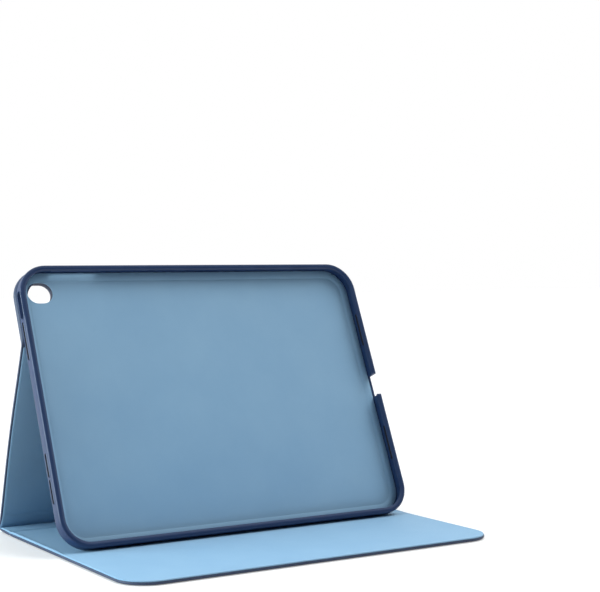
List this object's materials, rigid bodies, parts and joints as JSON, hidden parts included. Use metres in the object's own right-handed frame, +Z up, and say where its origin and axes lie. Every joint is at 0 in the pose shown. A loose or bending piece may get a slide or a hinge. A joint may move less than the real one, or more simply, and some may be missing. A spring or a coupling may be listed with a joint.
{
  "type": "tablet folio stand case",
  "caption": "Folio case that stands a tablet up: rigid tray on a folding back, flat front cover, and a magnetic flap that wraps round to keep it shut.",
  "frame": {"origin": "centre of the front cover's underside, on the table", "axes": "+X along the folds towards the charging port, +Y from the front edge to the spine, +Z up"},
  "size_m": [0.2536, 0.1962, 0.1725],
  "materials": {
    "outer_leather": "smooth fine-grained PU leather, satin, navy",
    "microfibre": "short-nap microfibre suede, light blue",
    "stiffener_board": "pressed board, hidden",
    "magnet": "nickel-plated magnet, hidden",
    "steel_plate": "thin steel keeper plate, hidden",
    "tray_plastic": "fine-textured polycarbonate, dark navy",
    "tray_rubber": "smooth satin TPU, dark navy",
    "ring_plastic": "satin moulded plastic, dark navy",
    "adhesive": "double-sided tape, hidden"
  },
  "bodies": {
    "front_cover": {"cover_skin": "outer_leather", "cover_board": "stiffener_board", "cover_lining": "microfibre", "cover_latch_magnets": "magnet", "cover_stand_magnets": "magnet", "wake_magnet": "magnet"},
    "spine": {"spine_skin": "outer_leather", "spine_board": "stiffener_board", "spine_lining": "microfibre"},
    "leg": {"leg_skin": "outer_leather", "leg_board": "stiffener_board", "leg_lining": "microfibre"},
    "tray": {"back_skin": "outer_leather", "back_board": "stiffener_board", "back_lining": "microfibre", "flap_anchor": "outer_leather", "camera_ring": "ring_plastic", "tray_adhesive": "adhesive", "tray_shell": "tray_plastic", "tray_lining": "microfibre", "tray_rim": "tray_rubber", "tray_foot_plates": "steel_plate"},
    "flap_strip": {"strip_skin": "outer_leather", "strip_lining": "microfibre"},
    "flap_wing": {"wing_skin": "outer_leather", "wing_lining": "microfibre"},
    "flap_tongue": {"tongue_skin": "outer_leather", "tongue_board": "stiffener_board", "tongue_lining": "microfibre", "tongue_magnets": "magnet"}
  },
  "joints": [
    {"name": "spine_fold", "type": "hinge", "parent": "front_cover", "child": "spine", "pos_m": [0, 0.08975, 0.0013], "axis": [1, 0, 0], "range_deg": [-2, 0]},
    {"name": "leg_fold", "type": "hinge", "parent": "spine", "child": "leg", "pos_m": [0, 0.10774, 0.00193], "axis": [1, 0, 0], "range_deg": [-107.2, 0]},
    {"name": "stand_fold", "type": "hinge", "parent": "leg", "child": "tray", "pos_m": [0, 0.06547, 0.12328], "axis": [1, 0, 0], "range_deg": [0, 43.2]},
    {"name": "flap_fold", "type": "hinge", "parent": "tray", "child": "flap_strip", "pos_m": [0, 0.08856, 0.16948], "axis": [1, 0, 0], "range_deg": [0, 262.5]},
    {"name": "wing_fold", "type": "hinge", "parent": "flap_strip", "child": "flap_wing", "pos_m": [0, 0.08365, 0.15289], "axis": [1, 0, 0], "range_deg": [0, 90]},
    {"name": "tongue_crease", "type": "hinge", "parent": "flap_wing", "child": "flap_tongue", "pos_m": [0, 0.07825, 0.13468], "axis": [1, 0, 0], "range_deg": [0, 9]}
  ],
  "couplings": [
    {"joint": "spine_fold", "follows": "leg_fold", "ratio": 0.018656},
    {"joint": "stand_fold", "follows": "leg_fold", "ratio": -0.40301}
  ]
}
